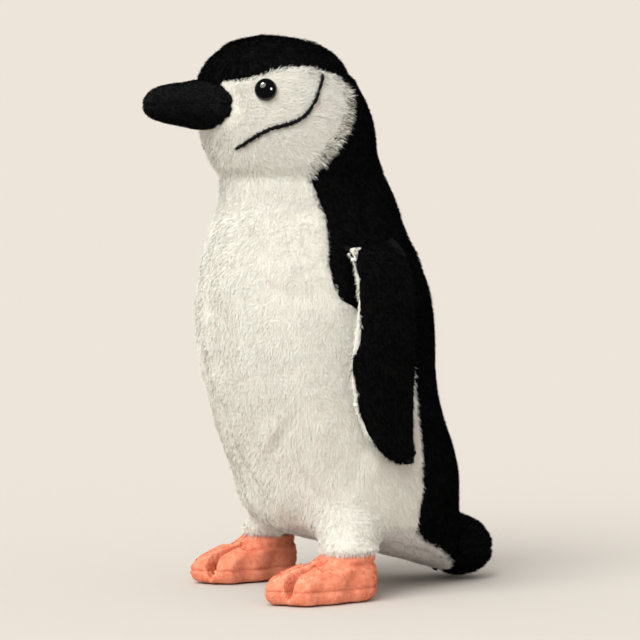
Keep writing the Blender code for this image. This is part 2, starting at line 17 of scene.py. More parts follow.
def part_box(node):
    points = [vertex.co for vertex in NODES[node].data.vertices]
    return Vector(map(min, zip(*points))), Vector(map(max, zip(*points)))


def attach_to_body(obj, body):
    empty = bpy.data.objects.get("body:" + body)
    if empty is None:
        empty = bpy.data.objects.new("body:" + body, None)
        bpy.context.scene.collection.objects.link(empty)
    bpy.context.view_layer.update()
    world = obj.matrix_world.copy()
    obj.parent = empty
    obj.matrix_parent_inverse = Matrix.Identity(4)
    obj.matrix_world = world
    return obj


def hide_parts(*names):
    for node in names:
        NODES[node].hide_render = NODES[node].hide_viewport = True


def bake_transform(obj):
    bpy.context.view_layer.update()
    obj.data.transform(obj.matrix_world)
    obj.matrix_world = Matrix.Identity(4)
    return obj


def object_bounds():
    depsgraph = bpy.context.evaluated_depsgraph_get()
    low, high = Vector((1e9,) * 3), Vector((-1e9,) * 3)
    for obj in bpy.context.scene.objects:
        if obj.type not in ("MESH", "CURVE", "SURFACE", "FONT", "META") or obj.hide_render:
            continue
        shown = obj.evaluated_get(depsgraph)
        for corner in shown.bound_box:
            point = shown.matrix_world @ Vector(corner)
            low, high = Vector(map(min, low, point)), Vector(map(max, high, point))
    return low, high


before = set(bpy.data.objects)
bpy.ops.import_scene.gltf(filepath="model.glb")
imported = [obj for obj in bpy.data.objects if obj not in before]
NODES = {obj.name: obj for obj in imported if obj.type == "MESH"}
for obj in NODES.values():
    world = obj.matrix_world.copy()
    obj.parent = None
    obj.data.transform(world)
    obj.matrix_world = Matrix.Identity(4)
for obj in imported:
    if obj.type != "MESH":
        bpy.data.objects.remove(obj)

MM = 0.001
CAD_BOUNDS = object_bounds()
SIDES = (("left", 1), ("right", -1))

# Viewpoint: distance and height of the camera, and the height it aims at
CAMERA_AZIMUTH = 62.0
CAMERA_DISTANCE = 1.5
CAMERA_HEIGHT = 0.225
AIM_HEIGHT = 0.1474
LENS = 154.4

# Light: colour of the background, and tint and strength of the sun and of the surroundings
BACKDROP = (0.847, 0.783, 0.701)
SUN_TINT = (1.0, 0.995, 0.965)
AMBIENT_TINT = (1.0, 0.955, 0.905)
AMBIENT = 0.82
MIRRORED = 0.10  # strength of the surroundings in polished surfaces
SUN = 3.1

NECK = 0.226

PLUSH_VOXEL = 3.0 * MM
FLIPPER_VOXEL = 1.6 * MM
BEAK_VOXEL = 1.8 * MM
TAIL_VOXEL = 2.4 * MM
FOOT_VOXEL = 1.6 * MM
BACKING = 1.2 * MM  # woven backing under the pile

# Upright axes of the body and the head, as Y, round which azimuths are measured
BODY_AXIS = -0.012
HEAD_AXIS = -0.022

# Pile colours, three fibre tones each: plain, pale or deep
WHITE = [(0.85, 0.87, 0.825), (0.82, 0.79, 0.72), (0.74, 0.71, 0.65)]
BLACK = [(0.0014, 0.0015, 0.0016), (0.003, 0.0032, 0.0033), (0.007, 0.0074, 0.0076)]
GREY = [(0.80, 0.775, 0.75), (0.68, 0.655, 0.63), (0.52, 0.50, 0.485)]
BRINDLE = [(0.44, 0.40, 0.32), (0.20, 0.18, 0.145), (0.66, 0.62, 0.54)]
CHARCOAL = [(0.002, 0.002, 0.0024), (0.004, 0.004, 0.0045), (0.008, 0.008, 0.009)]
CORAL = [(0.89, 0.31, 0.18), (0.80, 0.24, 0.135), (0.95, 0.41, 0.265)]
TONE_SHARES = (0.55, 0.3, 0.15)

# Roughness and specular level of the fibres
PALE_FIBRE = (0.8, 0.12)
DARK_FIBRE = (1.0, 0.02)

# Fineness of the mottle and the knit of the backing cloth
MOTTLE_SCALE = 260.0
KNIT_SCALE = MOTTLE_SCALE * 6


# ---- materials


def shader_material(name, colour, roughness, specular=0.5):
    made = bpy.data.materials.new(name)
    made.use_nodes = True
    shader = made.node_tree.nodes["Principled BSDF"]
    shader.inputs["Base Color"].default_value = (*colour, 1.0)
    shader.inputs["Roughness"].default_value = roughness
    shader.inputs["Specular IOR Level"].default_value = specular
    return made, shader


def fibre_materials(name, tones):
    """One material for each fibre tone of a pile; dark dyed fibres are the dullest."""
    gloss = PALE_FIBRE if max(tones[0]) > 0.1 else DARK_FIBRE
    return [shader_material(f"{name}_fibre_{index + 1}", tone, *gloss)[0] for index, tone in enumerate(tones)]


def add_node(tree, kind, **inputs):
    """Adds a shader node and sets its inputs; an underscore stands for a space in an input's name."""
    node = tree.nodes.new(f"ShaderNode{kind}")
    for name, value in inputs.items():
        node.inputs[name.replace("_", " ")].default_value = value
    return node


def add_bump(tree, shader, noise, strength, distance):
    """Lets a noise raise and lower the surface of a shader."""
    height = add_node(tree, "Bump", Strength=strength, Distance=distance)
    tree.links.new(noise.outputs["Fac"], height.inputs["Height"])
    tree.links.new(height.outputs["Normal"], shader.inputs["Normal"])


def add_mottle(tree, shader, noise, deep, pale, stops=(0.0, 1.0)):
    """Colours a shader between two tones by a noise."""
    ramp = tree.nodes.new("ShaderNodeValToRGB")
    for element, stop, colour in zip(ramp.color_ramp.elements, stops, (deep, pale)):
        element.position = stop
        element.color = (*colour, 1.0)
    tree.links.new(noise.outputs["Fac"], ramp.inputs["Fac"])
    tree.links.new(ramp.outputs["Color"], shader.inputs["Base Color"])


def woven_material(name, deep, pale):
    """Knitted backing cloth: two tones in a fine mottle, with a knit bump."""
    made, shader = shader_material(name, deep, 0.9, 0.1)
    tree = made.node_tree
    coordinates = tree.nodes.new("ShaderNodeTexCoord")
    mottle = add_node(tree, "TexNoise", Scale=MOTTLE_SCALE, Detail=6.0)
    knit = add_node(tree, "TexNoise", Scale=KNIT_SCALE, Detail=3.0)
    for noise in (mottle, knit):
        tree.links.new(coordinates.outputs["Object"], noise.inputs["Vector"])
    add_mottle(tree, shader, mottle, deep, pale, (0.35, 0.7))
    add_bump(tree, shader, knit, 0.5, 0.4 * MM)
    return made


def eye_material():
    """Polished black plastic with faint moulding marks."""
    made, shader = shader_material("eye_plastic_gloss", (0.0012, 0.0012, 0.0016), 0.06)
    tree = made.node_tree
    marks = add_node(tree, "TexNoise", Scale=900.0)
    gloss = add_node(tree, "MapRange", To_Min=0.03, To_Max=0.09)
    tree.links.new(marks.outputs["Fac"], gloss.inputs["Value"])
    tree.links.new(gloss.outputs["Result"], shader.inputs["Roughness"])
    return made


def thread_material():
    """Matt black twist with the fuzz of its fibres."""
    made, shader = shader_material("black_thread_twist", (0.0025, 0.0025, 0.003), 0.8, 0.1)
    tree = made.node_tree
    add_bump(tree, shader, add_node(tree, "TexNoise", Scale=1500.0), 0.6, 0.1 * MM)
    return made


def washer_material():
    """Milky moulded plastic of the washers that lock the eyes."""
    made, shader = shader_material("washer_plastic_moulded", (0.72, 0.72, 0.69), 0.45)
    tree = made.node_tree
    cloud = add_node(tree, "TexNoise", Scale=400.0)
    add_mottle(tree, shader, cloud, (0.66, 0.66, 0.63), (0.78, 0.78, 0.76))
    return made


FINISHES = {
    "white_plush": WHITE,
    "black_plush": BLACK,
    "grey_plush": GREY,
    "brindle": BRINDLE,
    "beak_fleece": CHARCOAL,
    "coral_fleece": CORAL,
}
FIBRES = {name: fibre_materials(name, tones) for name, tones in FINISHES.items()}
BACKINGS = {
    name: woven_material(f"{name}_backing", tones[0 if name == "black_plush" else 2], tones[1])
    for name, tones in FINISHES.items()
    if name != "brindle"
}


# ---- mesh work


def link(name, mesh):
    thing = bpy.data.objects.new(name, mesh)
    bpy.context.scene.collection.objects.link(thing)
    return thing


def read_vectors(collection, attribute):
    flat = np.empty(len(collection) * 3, np.float32)
    collection.foreach_get(attribute, flat)
    return flat.reshape(-1, 3).astype(float)


def positions(mesh):
    return read_vectors(mesh.vertices, "co")


def vertex_normals(mesh):
    return read_vectors(mesh.vertex_normals, "vector")


def place(mesh, points):
    mesh.vertices.foreach_set("co", points.astype(np.float32).ravel())
    mesh.update()


def apply(thing):
    """Replaces an object's mesh with what its modifiers make of it."""
    bpy.context.view_layer.update()
    evaluated = thing.evaluated_get(bpy.context.evaluated_depsgraph_get())
    done = bpy.data.meshes.new_from_object(evaluated)
    thing.modifiers.clear()
    before = thing.data
    thing.data = done
    bpy.data.meshes.remove(before)


def solids(*names):
    """Copies of CAD solids in one bmesh, with their split corners welded."""
    bm = bmesh.new()
    for name in names:
        bm.from_mesh(NODES[name].data)
    bmesh.ops.remove_doubles(bm, verts=bm.verts, dist=1e-6)
    return bm


def node_tree(*names):
    bm = solids(*names)
    tree = BVHTree.FromBMesh(bm)
    bm.free()
    return tree


def distances(tree, points):
    return np.array([tree.find_nearest(Vector(point))[3] for point in points])


def azimuths(points, axis):
    """How far points lie round an upright axis, from 0 at the front, in radians to either side."""
    return np.arctan2(np.abs(points[:, 0]), -(points[:, 1] - axis))


def outer_island(bm):
    """Keeps only the part with the vertex furthest to the right, which is the outermost skin."""
    start = min(bm.verts, key=lambda vert: vert.co.x)
    found = {start}
    front = [start]
    while front:
        vert = front.pop()
        for edge in vert.link_edges:
            other = edge.other_vert(vert)
            if other not in found:
                found.add(other)
                front.append(other)
    bmesh.ops.delete(bm, geom=[vert for vert in bm.verts if vert not in found], context="VERTS")


def remeshed(name, bm, voxel, smoothing):
    """One smooth closed skin round a group of solids."""
    mesh = bpy.data.meshes.new(name)
    bm.to_mesh(mesh)
    bm.free()
    thing = link(name, mesh)
    remesh = thing.modifiers.new("Remesh", "REMESH")
    remesh.mode = "VOXEL"
    remesh.voxel_size = voxel
    apply(thing)
    skin = bmesh.new()
    skin.from_mesh(thing.data)
    outer_island(skin)
    skin.to_mesh(thing.data)
    skin.free()
    smooth = thing.modifiers.new("Smooth", "SMOOTH")
    smooth.factor = 0.5
    smooth.iterations = smoothing
    apply(thing)
    return thing


def swell(thing, pinned, pressure, limit, frames=14, damping=1.0):
    """Blows the skin up a little between its seams by cloth simulation, no point further than the limit.

    damping scales how far each point travels, as one value or one for each point.
    """
    start = positions(thing.data)
    seams = thing.vertex_groups.new(name="seams")
    seams.add([int(index) for index in np.flatnonzero(pinned)], 1.0, "REPLACE")
    cloth = thing.modifiers.new("Cloth", "CLOTH")
    cloth.settings.quality = 4
    cloth.settings.mass = 0.2
    cloth.settings.vertex_group_mass = "seams"
    cloth.settings.use_pressure = True
    cloth.settings.uniform_pressure_force = pressure
    cloth.settings.effector_weights.gravity = 0.0
    cloth.collision_settings.use_collision = False
    scene = bpy.context.scene
    for step in range(1, frames + 1):
        scene.frame_set(step)
    apply(thing)
    travel = positions(thing.data) - start
    far = np.linalg.norm(travel, axis=1)
    travel *= (damping * np.minimum(far, limit) / np.maximum(far, 1e-9))[:, None]
    place(thing.data, start + travel)
    thing.vertex_groups.clear()
    scene.frame_set(1)


def relax(thing, weights, rounds):
    """Evens a skin out where the weights are above zero."""
    group = thing.vertex_groups.new(name="relaxed")
    for index in np.flatnonzero(weights > 0.01):
        group.add([int(index)], float(weights[index]), "REPLACE")
    smooth = thing.modifiers.new("Relax", "SMOOTH")
    smooth.factor = 0.5
    smooth.iterations = rounds
    smooth.vertex_group = "relaxed"
    apply(thing)
    thing.vertex_groups.clear()


def eased(share):
    """0 below 0, 1 above 1 and a smooth rise between."""
    share = np.clip(share, 0.0, 1.0)
    return share * share * (3.0 - 2.0 * share)


def subdivided(thing):
    subdivision = thing.modifiers.new("Subdivision", "SUBSURF")
    subdivision.levels = 1
    subdivision.render_levels = 1
    apply(thing)


def along_line(points, line, count=60):
    """Distance of points to a polyline given in metres, and how far along it they are, from 0 to 1."""
    line = np.array(line, float)
    knots = np.linspace(0, 1, len(line))
    share = np.linspace(0, 1, count)
    dense = np.stack([np.interp(share, knots, line[:, axis]) for axis in range(3)], axis=1)
    nearest = np.full(len(points), 1e9)
    where = np.zeros(len(points))
    for step, spot in zip(share, dense):
        gap = np.linalg.norm(points - spot, axis=1)
        closer = gap < nearest
        nearest[closer] = gap[closer]
        where[closer] = step
    return nearest, where


def crease(thing, line, depth, width):
    """Presses a groove with faded ends into a skin along a line; a negative depth raises a ridge."""
    points = positions(thing.data)
    gap, where = along_line(points, line)
    strength = depth * np.exp(-((gap / width) ** 2)) * np.sin(np.pi * np.clip(where, 0.04, 0.96)) ** 0.6
    place(thing.data, points - vertex_normals(thing.data) * strength[:, None])


OUTSIDE = 0.3  # further from the middle than any skin


def on_skin(tree, azimuth, height, centre_y):
    """Point of a skin seen from outside at an azimuth (0 is the front, 90 its left) and a height."""
    angle = math.radians(azimuth)
    outward = Vector((math.sin(angle), -math.cos(angle), 0.0))
    start = Vector((0.0, centre_y, height)) + outward * OUTSIDE
    return tree.ray_cast(start, -outward)[0]


def sleeve(bm, rings):
    """Joins each ring of vertices to the next."""
    for near, far in zip(rings, rings[1:]):
        for corner in range(len(near)):
            after = (corner + 1) % len(near)
            bm.faces.new((near[corner], near[after], far[after], far[corner]))


def smooth_object(name, bm, material):
    bmesh.ops.recalc_face_normals(bm, faces=bm.faces)
    mesh = bpy.data.meshes.new(name)
    bm.to_mesh(mesh)
    bm.free()
    mesh.shade_smooth()
    mesh.materials.append(material)
    return link(name, mesh)


# ---- panels


SEAM_FALLOFF = (0.72, 0.4, 0.15)  # share of a seam's depth that each next ring of vertices keeps


class Patch:
    """One panel's part of a skin: its points, their normals and its triangles."""

    def __init__(self, points, normals, faces):
        used, inverse = np.unique(np.concatenate([np.array(face) for face in faces]), return_inverse=True)
        self.points = points[used]
        self.normals = normals[used]
        ends = np.cumsum([len(face) for face in faces])
        self.faces = [part.tolist() for part in np.split(inverse, ends[:-1])]
        self.triangles = np.array(
            [(face[0], *pair) for face in self.faces for pair in zip(face[1:], face[2:])]
        )

    def area(self):
        a, b, c = (self.points[self.triangles[:, corner]] for corner in range(3))
        return 0.5 * np.linalg.norm(np.cross(b - a, c - a), axis=1)


def panels(thing, owners, drawn_in, grooves, biased=None):
    """Cuts a skin into its panels along smooth seams, and draws it in by the room its pile needs.

    owners maps a panel to its CAD tree; grooves maps a pair of panels to the depth of the seam between
    them; biased may change the distances that decide which panel a face belongs to.
    """
    mesh = thing.data
    centres = read_vectors(mesh.polygons, "center")
    gaps = np.stack([distances(tree, centres) for tree in owners.values()], axis=1)
    if biased:
        gaps = biased(gaps, centres)
    owner = np.argmin(gaps, axis=1)
    names = list(owners)

    bm = bmesh.new()
    bm.from_mesh(mesh)
    bm.faces.ensure_lookup_table()
    for _ in range(3):  # a face whose neighbours mostly belong elsewhere joins them
        for face in bm.faces:
            around = (other for edge in face.edges for other in edge.link_faces)
            near = [owner[other.index] for other in around if other is not face]
            counts = np.bincount(near, minlength=len(names)) if near else []
            if len(counts) and counts.max() >= 3 and counts.argmax() != owner[face.index]:
                owner[face.index] = counts.argmax()
    neighbours = {}
    sink = {}
    for edge in bm.edges:
        if len(edge.link_faces) != 2:
            continue
        first, second = (names[owner[face.index]] for face in edge.link_faces)
        if first == second:
            continue
        groove = grooves.get((first, second), grooves.get((second, first), 0.0))
        for vert in edge.verts:
            neighbours.setdefault(vert, []).append(edge.other_vert(vert))
            sink[vert] = max(sink.get(vert, 0.0), groove)
    for _ in range(8):  # evens out the steps of a seam
        moved = {
            vert: vert.co * 0.5 + (near[0].co + near[1].co) * 0.25
            for vert, near in neighbours.items()
            if len(near) == 2
        }
        for vert, spot in moved.items():
            vert.co = spot
    bm.normal_update()
    front = set(sink)
    for falloff in SEAM_FALLOFF:
        ring = {}
        for vert in front:
            for edge in vert.link_edges:
                other = edge.other_vert(vert)
                if other not in sink:
                    ring[other] = max(ring.get(other, 0.0), falloff * sink[vert])
        sink.update(ring)
        front = set(ring)
    for vert in bm.verts:
        vert.co -= vert.normal * (drawn_in + sink.get(vert, 0.0))
    bm.normal_update()
    bm.verts.index_update()
    points = np.array([vert.co for vert in bm.verts])
    directions = np.array([vert.normal for vert in bm.verts])
    faces = {}
    for face in bm.faces:
        faces.setdefault(names[owner[face.index]], []).append([vert.index for vert in face.verts])
    bm.free()
    bpy.data.objects.remove(thing)
    return {name: Patch(points, directions, faces[name]) for name in names if name in faces}


def two_panels(skin, first, second, drawn_in, groove, biased=None):
    """Cuts a skin that is sewn from two panels."""
    owners = {node: node_tree(node) for node in (first, second)}
    return panels(skin, owners, drawn_in, {(first, second): groove}, biased)


def cloth_piece(name, patch, finish):
    """The backing cloth of one panel, as a sheet with thickness."""
    mesh = bpy.data.meshes.new(name)
    mesh.from_pydata(patch.points.tolist(), [], patch.faces)
    mesh.shade_smooth()
    mesh.materials.append(BACKINGS[finish])
    thing = link(name, mesh)
    thickness = thing.modifiers.new("Thickness", "SOLIDIFY")
    thickness.thickness = BACKING
    thickness.offset = -1.0
    return thing


# ---- pile


def unit(vectors):
    return vectors / np.maximum(np.linalg.norm(vectors, axis=-1, keepdims=True), 1e-12)


def tangent(vectors, normals):
    """The share of vectors that lies along the surface."""
    return unit(vectors - normals * np.sum(vectors * normals, axis=1, keepdims=True))


def wander(points, size, seed):
    """Smooth noise between about -1 and 1 that varies over a given size."""
    rng = np.random.default_rng(seed)
    waves = unit(rng.normal(size=(7, 3))) * (math.tau / size) * rng.uniform(0.6, 1.5, (7, 1))
    phases = rng.uniform(0, math.tau, 7)
    return np.sin(points @ waves.T + phases).sum(axis=1) / math.sqrt(7)


def turned(vectors, normals, angles):
    """Vectors along the surface, turned about its normals."""
    return vectors * np.cos(angles)[:, None] + np.cross(normals, vectors) * np.sin(angles)[:, None]


def clump_pull(points, normals, size):
    """Way from each root along the surface to the middle of the tuft it belongs to."""
    cell = np.floor(points / size)
    mixed = cell @ np.array([[12.9898, 39.346, 73.156], [78.233, 11.135, 52.235], [37.719, 83.155, 9.151]])
    jitter = np.sin(mixed) * 43758.5453
    centre = (cell + (jitter - np.floor(jitter))) * size
    pull = centre - points
    return pull - normals * np.sum(pull * normals, axis=1, keepdims=True)


def lying(*direction):
    """A nap that runs in one direction all over a panel."""
    return lambda points, normals: tangent(np.tile(direction, (len(points), 1)), normals)


# How a pile grows. density is in fibres for each square millimetre, length, width and tuft (the size of a
# tuft) in millimetres, lean in degrees from the normal. nap gives the directions the fibres lean in,
# gather how far the tufts draw together, and scatter how much single fibres stray from the nap.
Pile = namedtuple("Pile", "density length width lean nap tuft gather scatter", defaults=(3.0, 0.35, 0.35))

DOWNWARD = lying(0.0, 0.12, -1.0)
CROWN_DOWN = lying(0.0, 0.25, -1.0)
BACKWARD = lying(0.0, 1.0, -0.35)
FLIPPER_DOWN = lying(0.0, 0.1, -1.0)
TOES_FORWARD = lying(0.0, -0.5, -0.8)

MOST_FIBRES = 64000  # in one piece


def grow(name, patch, finish, pile, seed, style=None):
    """Grows a pile on a panel: each fibre is a tapering blade of five points that bends with the nap.

    style(points, normals, nap, rng) returns a length factor for each root (0 leaves it bare), a tone or
    -1 for each root, and nap directions.
    """
    rng = np.random.default_rng(seed)
    area = patch.area()
    thin = 1.0
    count = int(area.sum() * 1e6 * pile.density * thin)
    pick = rng.choice(len(area), count, p=area / area.sum())
    weights = rng.dirichlet((1.0, 1.0, 1.0), count)
    corners = patch.triangles[pick]
    roots = np.einsum("nc,ncx->nx", weights, patch.points[corners])
    normals = unit(np.einsum("nc,ncx->nx", weights, patch.normals[corners]))
    factor = np.ones(count)
    tones = rng.choice(3, count, p=TONE_SHARES)
    nap = pile.nap(roots, normals)
    if style:
        factor, fixed, nap = style(roots, normals, nap, rng)
        tones = np.where(fixed >= 0, fixed, tones)
    keep = factor > 0
    roots, normals, factor, tones, nap = (part[keep] for part in (roots, normals, factor, tones, nap))
    count = len(roots)

    swirl = 0.35 * wander(roots, 26 * MM, seed + 1) + 0.2 * wander(roots, 7 * MM, seed + 2)
    nap = turned(nap, normals, swirl + rng.normal(0, pile.scatter, count))
    length = pile.length * MM * factor * rng.uniform(0.75, 1.15, count)
    length *= 1 + 0.08 * wander(roots, 12 * MM, seed + 3)
    lean = math.radians(pile.lean) + rng.normal(0, 0.16, count) + 0.1 * wander(roots, 9 * MM, seed + 4)
    lean = np.clip(lean, 0.15, 1.4)
    pull = clump_pull(roots, normals, pile.tuft * MM) * pile.gather
    rise = normals * np.cos(lean)[:, None] + nap * np.sin(lean)[:, None]
    tip_lean = np.clip(lean + 0.3, 0.2, 1.45)
    bent = normals * np.cos(tip_lean)[:, None] + nap * np.sin(tip_lean)[:, None]
    middle = roots + rise * length[:, None] * 0.5 + pull * 0.4
    tip = middle + bent * length[:, None] * 0.5 + pull * 0.6

    across = unit(np.cross(rise, normals + nap * 0.15))
    across = unit(turned(across, rise, rng.uniform(-0.9, 0.9, count)))
    facing = np.cross(across, rise)
    flip = np.sign(np.sum(facing * normals, axis=1))
    across *= np.where(flip == 0, 1.0, flip)[:, None]
    wide = (pile.width * MM / math.sqrt(thin)) * rng.uniform(0.8, 1.25, count)[:, None] * across * 0.5
    foot = roots - normals * 0.3 * MM
    blades = np.stack([foot - wide, foot + wide, middle - wide * 0.85, middle + wide * 0.85, tip], axis=1)
    facing = unit(np.cross(across, rise))
    shade = unit(normals * 0.75 + facing * 0.45 + rng.normal(0, 0.08, (count, 3)))
    parts = math.ceil(count / MOST_FIBRES)
    if parts == 1:
        return [blade_mesh(name, blades, shade, tones, finish)]
    return [
        blade_mesh(f"{name}_{part + 1}", blades[part::parts], shade[part::parts], tones[part::parts], finish)
        for part in range(parts)
    ]


def blade_mesh(name, blades, shade, tones, finish):
    """A mesh of separate blades, each a quad with a triangle on top, lit by the normals given."""
    count = len(blades)
    mesh = bpy.data.meshes.new(name)
    mesh.vertices.add(count * 5)
    mesh.vertices.foreach_set("co", blades.astype(np.float32).ravel())
    corners = np.arange(count)[:, None] * 5 + np.array([[0, 1, 3, 2, 2, 3, 4]])
    mesh.loops.add(count * 7)
    mesh.loops.foreach_set("vertex_index", corners.astype(np.int32).ravel())
    mesh.polygons.add(count * 2)
    starts = np.arange(count)[:, None] * 7 + np.array([[0, 4]])
    mesh.polygons.foreach_set("loop_start", starts.astype(np.int32).ravel())
    mesh.polygons.foreach_set("material_index", np.repeat(tones, 2).astype(np.int32))
    mesh.update(calc_edges=True)
    mesh.shade_smooth()
    for fibre in FIBRES[finish]:
        mesh.materials.append(fibre)
    mesh.normals_split_custom_set_from_vertices(np.repeat(shade, 5, axis=0).astype(np.float32))
    thing = link(name, mesh)
    return thing


# ---- motion


def join_neck(thing):
    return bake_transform(thing)


def on_torso(thing):
    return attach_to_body(thing, "torso")


def on_head(thing):
    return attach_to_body(thing, "head")


def join_shoulder():
    return lambda thing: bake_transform(thing)


def join_tail(thing):
    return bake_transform(thing)


def finish_panel(patches, node, finish, pile, seed, attach, stands_for=(), style=None):
    """Backing cloth and pile of one panel, each handed to attach."""
    backing = cloth_piece(f"{node}_cloth", patches[node], finish)
    attach(backing)
    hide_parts(node, *stands_for)
    for fibres in grow(f"{node}_pile", patches[node], finish, pile, seed, style):
        attach(fibres)


# ---- eyes


EYE_RISE = 5.0 * MM
EYE_RADIUS = 6.0 * MM
EYE_RINGS = 16
EYE_SEGMENTS = 64

# Radius and height of the shank and the rim behind the dome, in millimetres
SHANK = ((0.0, -9.0), (1.9, -9.0), (1.9, -2.4), (4.6, -2.4), (5.6, -1.8), (6.0, -0.6))


def eye_frame(side):
    """Centre of an eye on the fabric and its outward direction, from the CAD eye and its washer."""
    eye = positions(NODES[f"eye_{side}"].data)
    washer = positions(NODES[f"eye_washer_{side}"].data)
    middle = washer.mean(axis=0)
    outward = unit(eye.mean(axis=0) - middle)
    top = (eye @ outward).max()
    apex = middle + outward * (top - middle @ outward)
    return apex - outward * EYE_RISE, outward


def make_eye(side, gloss):
    """A domed safety eye: dome, rounded rim and the shank that goes through the fabric."""
    centre, outward = eye_frame(side)
    profile = [(radius * MM, height * MM) for radius, height in SHANK]
    for step in range(EYE_RINGS + 1):
        angle = 0.5 * math.pi * step / EYE_RINGS
        profile.append((EYE_RADIUS * math.cos(angle), EYE_RISE * math.sin(angle)))
    turned_out = Vector(outward).to_track_quat("Z", "Y").to_matrix().to_4x4()
    placing = Matrix.Translation(centre) @ turned_out
    bm = bmesh.new()
    rings = []
    for radius, height in profile:
        ring = []
        for segment in range(EYE_SEGMENTS):
            turn = math.tau * segment / EYE_SEGMENTS
            spot = Vector((radius * math.cos(turn), radius * math.sin(turn), height))
            ring.append(bm.verts.new(placing @ spot))
        rings.append(ring)
    sleeve(bm, rings)
    bmesh.ops.remove_doubles(bm, verts=bm.verts, dist=1e-6)
    thing = smooth_object(f"eye_{side}_dome", bm, gloss)
    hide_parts(f"eye_{side}")
    on_head(thing)


# ---- chin stitching


CHIN_END = 0.07  # share of the CAD line left out under the chin, where the thread dives into the pile
THREAD_SIDES = 8
PLIES = 2
TWIST = 7.5  # steps of the line for one turn of the plies
STITCH = 9.0  # steps of the line for one stitch
LINT = 800  # loose fibres along one line


def chin_line(side):
    """Middle of the CAD thread on one side of the face, from behind the eye to under the chin."""
    points = positions(NODES[f"chinstrap_{side}"].data)
    turn = azimuths(points, HEAD_AXIS)
    share = (turn - turn.min()) / (turn.max() - turn.min())
    fits = [np.polyfit(share, points[:, axis], 6) for axis in range(3)]
    steps = np.linspace(1.0, CHIN_END, 90)
    return np.stack([np.polyval(fit, steps) for fit in fits], axis=1)


def make_stitching(side, tree, thread):
    """Two-ply thread that dips into the pile at every stitch, with loose ends of fibre along it."""
    line = chin_line(side)
    settled = []
    for point in line:
        spot, normal, _, _ = tree.find_nearest(Vector(point))
        settled.append((np.array(spot), np.array(normal)))
    bm = bmesh.new()
    count = len(settled)
    for ply in range(PLIES):
        rings = []
        for index, (spot, normal) in enumerate(settled):
            ahead = unit(settled[min(index + 1, count - 1)][0] - settled[max(index - 1, 0)][0])
            across = unit(np.cross(ahead, normal))
            phase = math.tau * (index / TWIST) + math.pi * ply
            stitch = math.sin(math.pi * ((index / STITCH) % 1.0))
            run = index / (count - 1)
            body = 0.45 + 0.55 * math.sin(math.pi * min(1.0, 0.1 + 0.9 * run)) ** 0.7
            radius = (0.38 + 0.36 * stitch) * body * MM
            lift = (1.7 + 0.8 * stitch - 1.6 * max(0.0, run - 0.9) / 0.1) * MM
            centre = spot + normal * lift
            centre += (across * math.cos(phase) + normal * math.sin(phase)) * 0.42 * MM
            ring = []
            for corner in range(THREAD_SIDES):
                angle = math.tau * corner / THREAD_SIDES
                outward = across * math.cos(angle) + normal * math.sin(angle)
                ring.append(bm.verts.new(centre + outward * radius))
            rings.append(ring)
        sleeve(bm, rings)
        bm.faces.new(rings[0])
        bm.faces.new(list(reversed(rings[-1])))
    thing = smooth_object(f"chin_stitching_{side}", bm, thread)
    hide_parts(f"chinstrap_{side}")
    on_head(thing)
    on_head(make_lint(side, settled))


def make_lint(side, settled):
    """Loose black fibres that stand out from the thread on both sides."""
    rng = np.random.default_rng(60 + len(side))
    pick = rng.integers(1, len(settled) - 4, LINT)
    spots = np.array([settled[index][0] for index in pick])
    normals = np.array([settled[index][1] for index in pick])
    ahead = unit(np.array([settled[index + 1][0] - settled[index - 1][0] for index in pick]))
    across = np.cross(ahead, normals) * rng.choice([-1.0, 1.0], LINT)[:, None]
    roots = spots + normals * 1.6 * MM + ahead * rng.uniform(-0.5, 0.5, LINT)[:, None] * MM
    aim = unit(across * rng.uniform(0.1, 0.9, LINT)[:, None] + ahead * rng.normal(0, 1, LINT)[:, None])
    length = rng.uniform(0.9, 2.5, LINT)[:, None] * MM
    middle = roots + aim * length * 0.5 + normals * 0.35 * MM
    tips = roots + aim * length
    wide = np.cross(aim, normals) * 0.16 * MM
    blades = np.stack([roots - wide, roots + wide, middle - wide, middle + wide, tips], axis=1)
    return blade_mesh(f"chin_lint_{side}", blades, normals, rng.choice(2, LINT), "black_plush")


# ---- the stuffed body and head


BEAK_ROOT = np.array(Vector((0.0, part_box("beak_upper")[1].y, 0.264)))


def from_beak(points, normals):
    """Nap that runs from the beak back over the cheeks and down to the throat."""
    away = points - BEAK_ROOT
    away[:, 1] += 0.012
    away = unit(away) + np.array([0.0, 0.7, -0.55])
    return tangent(away, normals)


SIDE_PANELS = ("belly", "back", "leg_cuff", "face")
PLUSH_NODES = ["base_panel", *(f"{part}_{side}" for side, _ in SIDES for part in SIDE_PANELS), "cap", "nape"]

# A ball behind each eye keeps the skin full there
EYE_PAD_RADIUS = 6.8 * MM
EYE_PAD_DEPTH = 7.5 * MM

CUFF_INSIDE = 24 * MM  # the cuffs lie further than this from the middle
CUFFS_REAR = 0.03  # and ahead of this
JUNCTION_REACH = 9 * MM  # round the seam between a cuff and the body
BEAK_REACH = 16 * MM  # the swelling fades out within this distance of the beak

WHITE_PILE = Pile(4.6, 2.9, 0.21, 56, DOWNWARD, tuft=2.2, gather=0.28)
BACK_PILE = Pile(3.8, 3.0, 0.22, 58, DOWNWARD)
CROWN_PILE = Pile(3.8, 3.0, 0.22, 58, CROWN_DOWN)
BASE_PILE = Pile(3.8, 2.2, 0.22, 58, BACKWARD, scatter=0.6)
CHEEK_PILE = Pile(4.6, 3.4, 0.21, 52, from_beak, 2.0, 0.32, 0.5)


